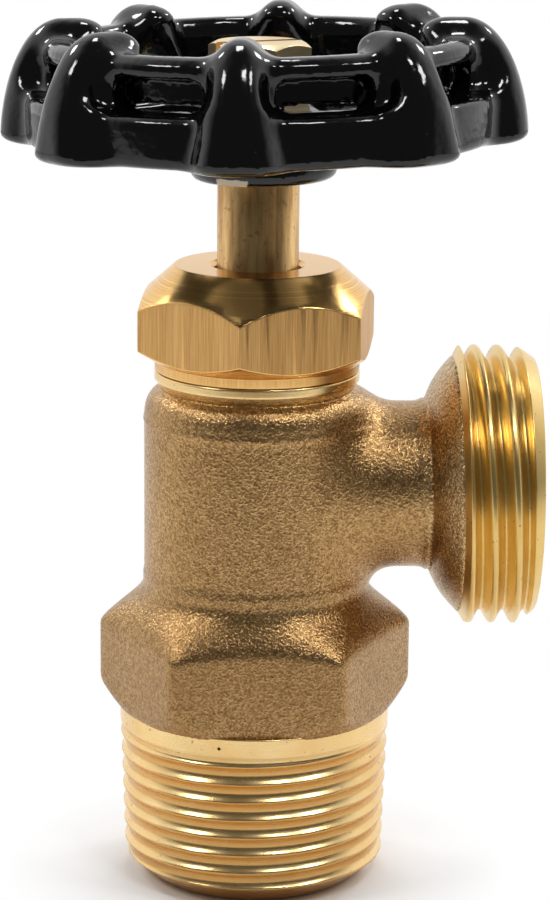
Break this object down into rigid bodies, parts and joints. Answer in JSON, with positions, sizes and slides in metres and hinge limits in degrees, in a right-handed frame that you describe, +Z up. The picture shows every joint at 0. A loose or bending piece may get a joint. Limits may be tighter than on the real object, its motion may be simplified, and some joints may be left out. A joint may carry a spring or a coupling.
{
  "type": "boiler drain valve",
  "caption": "Brass angle drain valve with a tapered male inlet below, a hose thread at the side and a lobed black handwheel on a rising screw stem.",
  "frame": {"origin": "centre of the inlet's end face, at the mouth of the inlet bore", "axes": "+Z up the stem, +X out through the hose outlet, -Y towards the front"},
  "size_m": [0.0516, 0.0496, 0.0838],
  "materials": {
    "cast_brass": "sand cast, machined where it is threaded",
    "nut_brass": "drawn hexagon bar, brushed",
    "turned_brass": "turned",
    "stem_brass": "turned, a little tarnished",
    "screw_brass": "machined",
    "packing": "graphite packing, matt",
    "seat_rubber": "matt",
    "spring_wire": "plain",
    "black_enamel": "glossy black stove enamel"
  },
  "bodies": {
    "casting": {"valve_body": "cast_brass", "packing_nut": "nut_brass", "gland": "turned_brass", "upper_packing_ring": "packing", "lower_packing_ring": "packing", "packing_base_washer": "turned_brass"},
    "disc": {"disc_holder": "turned_brass", "seat_washer": "seat_rubber", "washer_screw": "turned_brass", "swivel_ring": "spring_wire"},
    "spindle": {"stem": "stem_brass", "handwheel": "black_enamel", "wheel_washer": "spring_wire", "wheel_screw": "screw_brass"}
  },
  "joints": [
    {"name": "disc_lift", "type": "slide", "parent": "casting", "child": "disc", "axis": [0, 0, 1], "range_m": [0, 0.00508]},
    {"name": "stem_turn", "type": "hinge", "parent": "disc", "child": "spindle", "pos_m": [0, 0, 0.0343], "axis": [0, 0, 1], "range_deg": [0, 720]}
  ],
  "couplings": [
    {"joint": "disc_lift", "follows": "stem_turn", "m_per_rad": 0.00040425}
  ]
}
